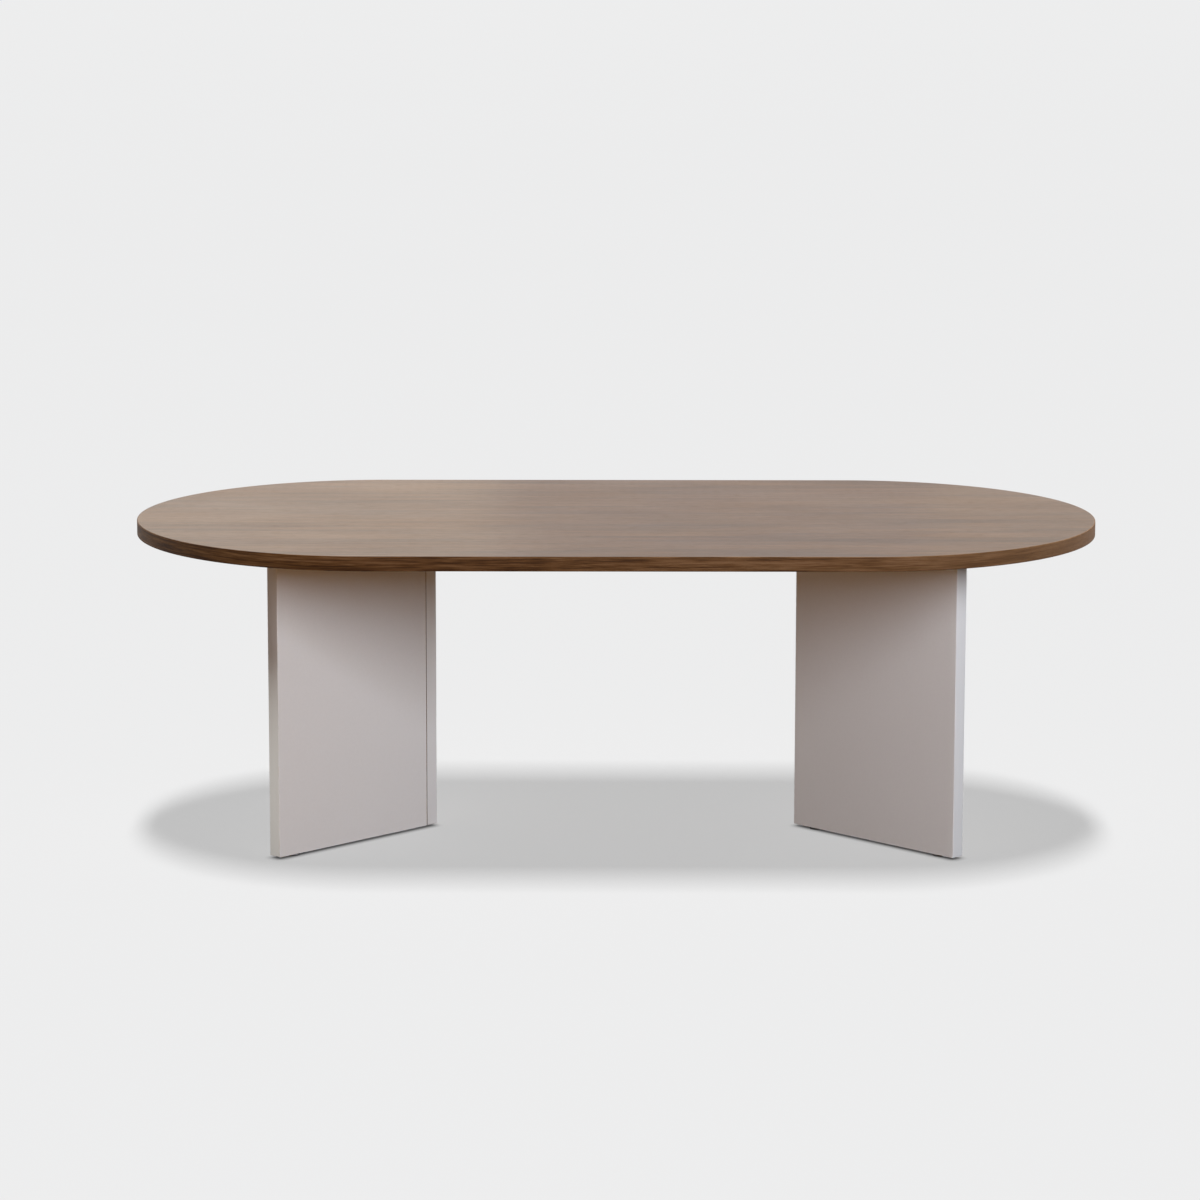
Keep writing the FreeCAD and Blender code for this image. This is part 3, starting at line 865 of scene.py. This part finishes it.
def model_cam(radius):
    """One cam lock about Z with its face up and its mouth towards +X."""
    cam = cylinder(72, radius, CAM_LENGTH, (0, 0, CAM_LENGTH / 2))
    choose("edges", is_level)
    bevel(CAM_CHAMFER, 2)
    choose("faces", lambda face: face.normal.z > FACING)
    bpy.ops.mesh.inset(thickness=sizes().cam_rim, depth=0)
    width, depth = CAM_STEP
    bpy.ops.mesh.inset(thickness=width, depth=-depth)
    for turn in (0, math.pi / 2):
        blade = cuboid(CAM_SLOT, (0, 0, CAM_LENGTH), (0, 0, turn))
        choose("edges", lambda edge: not is_level(edge))
        bevel(CAM_SLOT_ROUNDING, 2)
        cut(cam, blade)
    point, height, inside = CAM_POINTER
    cut(cam, cylinder(3, point, height, (radius - inside, 0, CAM_LENGTH - depth), (0, 0, -math.pi / 2)))
    bore, past_axis, past_side = CAM_MOUTH
    reach = radius + past_axis + past_side
    cut(cam, cylinder(40, bore, reach, (reach / 2 - past_axis, 0, CAM_BOLT_AXIS), (0, math.pi / 2, 0)))
    smooth(cam, 30)
    return cam


def cam_place(points, radius, upwards):
    """Matrix of a cam lock in the inner face of a panel, from the corner points of its solid."""
    middle = sum(points, Vector()) / len(points)
    side_x = math.copysign(1, middle.x)
    side_y = math.copysign(1, middle.y)
    face = Vector((side_x, -side_y, 0)) * DIAGONAL
    mouth = Vector((0, 0, 1)) if upwards else Vector((-side_x, -side_y, 0)) * DIAGONAL
    across = face.cross(mouth)
    heights, widths, reaches = [[point.dot(axis) for point in points] for axis in (face, across, mouth)]
    origin = (
        face * min(heights) + across * ((min(widths) + max(widths)) / 2) + mouth * (min(reaches) + radius))
    turn = Matrix((mouth, across, face)).transposed().to_4x4()
    return Matrix.Translation(origin) @ turn


class TABLE_OT_cam_locks(Step, bpy.types.Operator):
    """Cam locks with a cross slot, a pointer and a mouth for the bolt"""

    bl_idname = "coffee_table.cam_locks"
    bl_label = "Cam locks"

    def execute(self, context):
        heights = [point.z for point in solids_of("top_cam_locks")[0]]
        radius = (max(heights) - min(heights)) / 2
        cam = model_cam(radius)
        finish = metal("die_cast_zinc_dull", colours().cast_zinc, 0.40, 900.0, 0.2)
        for node, upwards in (("top_cam_locks", True), ("corner_cam_locks", False)):
            copies = [
                copy_of(cam, f"cam_{number}", cam_place(points, radius, upwards))
                for number, points in enumerate(solids_of(node))]
            locks = join(copies, f"{node}_slotted")
            seat(locks, "table", "die_cast_zinc", finish, node)
        throw_away(cam)
        return {"FINISHED"}


class TABLE_OT_dowels_and_bolts(Step, bpy.types.Operator):
    """Finishes of the dowels, cam bolts and threaded inserts"""

    bl_idname = "coffee_table.dowels_and_bolts"
    bl_label = "Dowels, bolts and inserts"

    def execute(self, context):
        steel = metal("zinc_plate_bright", colours().plated_steel, 0.26, 500.0, 0.18)
        turned_brass = metal("turned_brass", colours().brass, 0.24, 600.0, 0.16)
        coat(beech("beech_upright", (0, 0, 1), (1, 0, 0), (0, 1, 0)), "top_dowels")
        slanting = beech("beech_slanting", (DIAGONAL, DIAGONAL, 0), (DIAGONAL, -DIAGONAL, 0), (0, 0, 1))
        coat(slanting, "corner_dowels")
        coat(steel, "top_cam_bolts", "corner_cam_bolts")
        coat(turned_brass, *[f"{glide}_insert" for glide in GLIDES])
        return {"FINISHED"}


# Glide pad: facets, and share of the radius beyond which a face or edge is on the side
PAD_FACETS = 72
PAD_OUTER = 0.9
# Socket, in metres: depth, play round the stem, and rounding of the upper edge of the pad
SOCKET_DEPTH = 0.0015
SOCKET_PLAY = 0.00005
PAD_SHOULDER = 0.0003
# Grips: width and depth of the step in metres, and facets from one to the next
GRIP = (0.0001, 0.00025, 3)
# Thread: shares of the pitch in a flank, the crest and the root
FLANK, CREST, ROOT = 0.38, 0.14, 0.10
# Facets in a turn, turns made to be cut off, and distance from the cut that counts as on it
THREAD_STEPS = 28
SPARE_TURNS = 5
ON_CUT = 0.0000001


def model_pad(radius, height, socket):
    """One glide pad about Z, sole at zero, with a grip round its rim and a socket on top."""
    step, sunk, apart = GRIP

    def is_rim(edge):
        middle = middle_of(edge)
        return middle.xy.length > radius * PAD_OUTER and abs(middle.z - level) < NEAR

    def is_grip(face):
        middle = face.calc_center_median()
        facet = math.degrees(math.atan2(middle.y, middle.x)) // (360 / PAD_FACETS)
        upright = abs(face.normal.z) < 1 - FACING
        return upright and middle.xy.length > radius * PAD_OUTER and facet % apart == 0

    pad = cylinder(PAD_FACETS, radius, height, (0, 0, height / 2))
    choose("faces", lambda face: face.normal.z > FACING)
    bpy.ops.mesh.inset(thickness=radius - socket, depth=0)
    push(0, 0, -SOCKET_DEPTH)
    for level, rounding, segments in ((0, sizes().pad_rounding, 3), (height, PAD_SHOULDER, 2)):
        choose("edges", is_rim)
        bevel(rounding, segments)
    choose("faces", is_grip)
    bpy.ops.mesh.inset(thickness=step, depth=-sunk, use_individual=True)
    close_up()
    smooth(pad, 30)
    return pad


def model_stem(radius, length):
    """One glide stem about Z with a helical thread, foot at zero."""
    pitch = sizes().thread_pitch
    depth = sizes().thread_depth
    stem = start(bpy.ops.mesh.primitive_plane_add, size=2, location=(1, 1, 0))
    choose("verts", lambda vert: vert.co.length > NEAR)
    bpy.ops.mesh.delete(type="VERT")
    choose_all()
    bpy.ops.transform.translate(value=(radius - depth, 0, -SPARE_TURNS / 2 * pitch))
    push(depth, 0, pitch * FLANK)
    push(0, 0, pitch * CREST)
    push(-depth, 0, pitch * FLANK)
    push(0, 0, pitch * ROOT)
    pick_up(stem)
    turns = stem.modifiers.new("thread", "SCREW")
    turns.axis = "Z"
    turns.angle = 2 * math.pi
    turns.screw_offset = pitch
    turns.iterations = int(length / pitch) + SPARE_TURNS
    turns.steps = THREAD_STEPS
    turns.render_steps = THREAD_STEPS
    bpy.ops.object.modifier_apply(modifier="thread")
    bpy.ops.object.mode_set(mode="EDIT")
    close_up()
    for level, keep_above in ((0.0, True), (length, False)):
        choose_all()
        bpy.ops.mesh.bisect(
            plane_co=(0, 0, level), plane_no=(0, 0, 1), use_fill=True, threshold=ON_CUT,
            clear_inner=keep_above, clear_outer=not keep_above)
    close_up()
    smooth(stem, 40)
    return stem


class TABLE_OT_glides(Step, bpy.types.Operator):
    """Levelling glides: moulded pads and threaded stems, one of each on every glide body"""

    bl_idname = "coffee_table.glides"
    bl_label = "Glides"

    def execute(self, context):
        low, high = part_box("left_front_glide_pad")
        foot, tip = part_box("left_front_glide_stem")
        radius = (high.x - low.x) / 2
        stem_radius = (tip.x - foot.x) / 2
        pad = model_pad(radius, high.z - low.z, stem_radius + SOCKET_PLAY)
        stem = model_stem(stem_radius, tip.z - foot.z)
        kinds = (
            (pad, "pad", "gripped", "nylon", nylon()),
            (stem, "stem", "threaded", "zinc_plated_steel", bpy.data.materials["zinc_plate_bright"]))
        for glide in GLIDES:
            for model, part, shape, slot, finish in kinds:
                node = f"{glide}_glide_{part}"
                base = node_middle(node)
                base.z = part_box(node)[0].z
                piece = copy_of(model, f"{node}_{shape}", Matrix.Translation(base))
                seat(piece, f"{glide}_glide", slot, finish, node)
        throw_away(pad)
        throw_away(stem)
        return {"FINISHED"}


# The stage

# Floor, in metres: its side, and how near a thing darkens its glow, as a painted contact shadow
FLOOR_SIDE = 160.0
CONTACT_SHADE_REACH = 0.010
# In mirrors the glow rises from here to there, towards the back, up to this share
MIRRORED_FROM, MIRRORED_TO, MIRRORED = -2.0, 0.5, 0.8
# Camera: width of the sensor in millimetres, and near and far limits in metres
SENSOR = 36.0
CLIP_START, CLIP_END = 0.1, 300.0
# Overhead lamps: height in metres, and full strength of the one for the floor
OVERHEAD = 26.0
FLOOR_LAMP = 2.0
# Soft boxes and cards: middle, width and height in metres, dip in degrees and full strength
BOXES = {
    "front_box": ((1.025, -1.8, 1.07), 2.05, 1.0, 50, 11.9),
    "low_box": ((-0.3, -1.6, 0.35), 0.6, 0.5, 0, 12.0),
    "rear_box": ((-0.7, 1.6, 0.85), 1.8, 1.0, 30, 12.0),
    "left_card": ((-0.62, 1.25, 0.75), 0.9, 0.7, 0, 1.0),
    "right_card": ((0.78, 1.25, 0.75), 0.56, 0.7, 0, 1.0),
}
# Far lamps: distance in metres, then side to the right of the front, height and spread in degrees,
# and full strength
FAR = 4.0
LAMPS = {
    "left_high": (-75, 62, 20, 2.0),
    "right_rear": (138, 12, 30, 1.0),
    "left_fill": (-75, 12, 40, 1.0),
    "under_fill": (0, -89, 60, 1.0),
}
# Pieces that the left fill lights, and how the names of those end that the fill from below lights
LEFT_FILL = (
    "left_rear_panel", "left_rear_foot_band", "left_front_panel", "left_front_foot_band",
    "corner_cam_locks_slotted")
UNDER_FILL = ("underside_veneer", "foot_band", "pad_gripped", "stem_threaded", "insert", "cam_locks_slotted")


def ray(finish, kind):
    """One for rays of a kind, nought for all others."""
    return finish.node("ShaderNodeLightPath", {}, {}, f"Is {kind} Ray")


def floor_finish():
    """Pale floor that keeps a soft shadow, clear from below.
    Its glow makes up for what the floor lamp loses far away, and near things it is taken away as a painted
    contact shadow."""
    stage = bpy.context.scene.table_stage
    finish = new_finish("pale_floor")
    x, y, z = finish.place()
    behind = finish.rise(y, MIRRORED_FROM, MIRRORED_TO)
    seen = ray(finish, "Camera") + ray(finish, "Transmission") + ray(finish, "Glossy") * behind * MIRRORED
    # Painted shadow: ambient occlusion darkens the glow under and beside the panels and feet
    contact_shade = finish.node("ShaderNodeAmbientOcclusion", {"samples": 12}, {"Distance": CONTACT_SHADE_REACH}, "AO")
    cloud = finish.grain(x * 0.7, y * 0.7, z, 2.0)
    paint = finish.blend(seen, stage.floor_bounce, stage.floor)
    paint = finish.blend(cloud * 0.02, paint, (0.0, 0.0, 0.0, 1.0))
    away = 1.0 + (x * x + y * y) * (1.0 / OVERHEAD ** 2)
    lost = 1.0 - away ** -2.0
    lit = FLOOR_LAMP * stage.over_floor[0] * stage.floor[0] / stage.floor_glow[0]
    glow = finish.blend(1.0, stage.floor_glow, seen * contact_shade * (1.0 + lost * lit), "MULTIPLY")
    below = finish.node("ShaderNodeNewGeometry", {}, {}, "Backfacing")
    return finish.done(
        Base_Color=paint, Roughness=1.0, Specular_IOR_Level=0.0, Emission_Color=glow, Emission_Strength=1.0,
        Alpha=1.0 - below)


def backdrop():
    """The world: the backdrop to the camera and in reflections, ambient light to all else."""
    stage = bpy.context.scene.table_stage
    finish = Finish(bpy.data.worlds.new("backdrop"))
    seen = ray(finish, "Camera")
    for kind in ("Glossy", "Transmission"):
        seen = seen.math("MAXIMUM", seen, ray(finish, kind))
    paint = finish.blend(seen, stage.ambient, stage.backdrop)
    light = finish.node("ShaderNodeBackground", {}, {"Color": paint})
    finish.node("ShaderNodeOutputWorld", {}, {"Surface": light})
    return finish.block


def hang(kind, name, location, towards, power):
    """A lamp that neither the camera nor a mirror sees.
    Power is that of a white lamp, and towards leads to the lamp."""
    turn = towards.to_track_quat("Z", "Y").to_euler()
    bpy.ops.object.light_add(type=kind, location=location, rotation=turn)
    lamp = bpy.context.object
    lamp.name = f"{name}_lamp"
    shade = getattr(bpy.context.scene.table_stage, name)
    brightest = max(shade[:3])
    lamp.data.energy = power * brightest
    lamp.data.color = [part / brightest for part in shade[:3]]
    lamp.visible_camera = False
    lamp.visible_glossy = False
    return lamp


def hang_box(name, location, towards, width, height, power):
    lamp = hang("AREA", name, location, towards, power)
    lamp.data.shape = "RECTANGLE"
    lamp.data.size = width
    lamp.data.size_y = height
    return lamp


def linked(name, state, *pieces):
    """A collection of the pieces that a lamp lights alone, or that it spares."""
    group = bpy.data.collections.new(name)
    for number, piece in enumerate(pieces):
        group.objects.link(piece)
        group.collection_objects[number].light_linking.link_state = state
    return group


def hang_lamps(floor):
    """Two lamps overhead, one for the table and one for the floor, the boxes and the far lamps.
    The left lamp, which lights the ends of the bases, spares the face of the top.
    The fills light only what faces away from the photograph's camera."""
    stage = bpy.context.scene.table_stage
    floor_only = linked("lit_by_floor_lamp", "INCLUDE", floor)
    spare_floor = linked("spared_by_lamps", "EXCLUDE", floor)
    spare_face = linked("spared_by_left_lamp", "EXCLUDE", floor, bpy.data.objects[TOP_FACE])
    inside = linked("lit_by_left_fill", "INCLUDE", *[bpy.data.objects[name] for name in LEFT_FILL])
    undersides = [piece for piece in bpy.data.objects if piece.name.endswith(UNDER_FILL)]
    below = linked("lit_from_below", "INCLUDE", *undersides)
    lights = {"left_high": spare_face, "left_fill": inside, "under_fill": below}
    above = OVERHEAD * Vector((-math.tan(stage.overhead_lean), -math.tan(stage.overhead_tilt), 1.0))
    for name, strength, lit in (("overhead", 1.0, spare_floor), ("over_floor", FLOOR_LAMP, floor_only)):
        lamp = hang_box(
            name, above, Vector((0, 0, 1)), 2 * OVERHEAD * math.tan(stage.overhead_breadth / 2),
            2 * OVERHEAD * math.tan(stage.overhead_depth / 2), strength * (math.pi * OVERHEAD) ** 2)
        lamp.light_linking.receiver_collection = lit
    for name, (middle, width, height, dip, strength) in BOXES.items():
        dip = math.radians(dip)
        towards = Vector((0, math.copysign(math.cos(dip), middle[1]), math.sin(dip)))
        lamp = hang_box(name, middle, towards, width, height, math.pi * width * height * strength)
        lamp.visible_glossy = name.endswith("card")
        lamp.light_linking.receiver_collection = spare_floor
    for name, (*angles, strength) in LAMPS.items():
        side, height, spread = [math.radians(angle) for angle in angles]
        level = math.cos(height)
        towards = Vector((math.sin(side) * level, -math.cos(side) * level, math.sin(height)))
        lamp = hang("SUN", name, towards * FAR, towards, math.pi * strength)
        lamp.data.angle = spread
        lamp.light_linking.receiver_collection = lights.get(name, spare_floor)


class TABLE_OT_stage(Step, bpy.types.Operator):
    """Pale floor, backdrop, soft lamps and the camera"""

    bl_idname = "coffee_table.stage"
    bl_label = "Stage"

    def execute(self, context):
        scene = context.scene
        stage = scene.table_stage
        put_down()
        bpy.ops.mesh.primitive_plane_add(size=FLOOR_SIDE)
        floor = context.object
        floor.name = "floor"
        floor.data.materials.append(floor_finish())
        floor.visible_shadow = False
        hang_lamps(floor)
        scene.world = backdrop()

        bpy.ops.object.camera_add(location=(stage.camera_side, -stage.camera_distance, stage.camera_height))
        camera = context.object
        camera.name = "photo_camera"
        turn = Matrix.Rotation(-stage.camera_turn, 3, "Z")
        dip = Matrix.Rotation(math.pi / 2 - stage.camera_dip, 3, "X")
        roll = Matrix.Rotation(stage.camera_roll, 3, "Z")
        camera.rotation_euler = (turn @ dip @ roll).to_euler()
        camera.data.lens = stage.lens
        camera.data.sensor_width = SENSOR
        camera.data.clip_start = CLIP_START
        camera.data.clip_end = CLIP_END
        scene.camera = camera
        scene.view_settings.view_transform = "Standard"
        return {"FINISHED"}


class TABLE_PT_pieces(bpy.types.Panel):
    """The pieces of the coffee table, in the order in which they are made"""

    bl_label = "Coffee table"
    bl_space_type = "VIEW_3D"
    bl_region_type = "UI"
    bl_category = "Coffee table"

    def draw(self, context):
        for operator in OPERATORS:
            self.layout.operator(operator.bl_idname)
        for group in GROUPS:
            settings = getattr(context.scene, group)
            for name in settings.__annotations__:
                self.layout.prop(settings, name)


OPERATORS = [
    TABLE_OT_top_edge_band,
    TABLE_OT_top_board,
    TABLE_OT_panels,
    TABLE_OT_panel_bands,
    TABLE_OT_cam_locks,
    TABLE_OT_dowels_and_bolts,
    TABLE_OT_glides,
    TABLE_OT_stage,
]
GROUPS = {"table_sizes": TableSizes, "table_finishes": TableFinishes, "table_stage": TableStage}
CLASSES = [*GROUPS.values(), *OPERATORS, TABLE_PT_pieces]


def register():
    for kind in CLASSES:
        bpy.utils.register_class(kind)
    for name, group in GROUPS.items():
        setattr(bpy.types.Scene, name, PointerProperty(type=group))


def unregister():
    for name in GROUPS:
        delattr(bpy.types.Scene, name)
    for kind in reversed(CLASSES):
        bpy.utils.unregister_class(kind)


def main():
    register()
    bpy.ops.coffee_table.top_edge_band()
    bpy.ops.coffee_table.top_board()
    bpy.ops.coffee_table.panels()
    bpy.ops.coffee_table.panel_bands()
    bpy.ops.coffee_table.cam_locks()
    bpy.ops.coffee_table.dowels_and_bolts()
    bpy.ops.coffee_table.glides()
    bpy.ops.coffee_table.stage()


if __name__ == "__main__":
    main()
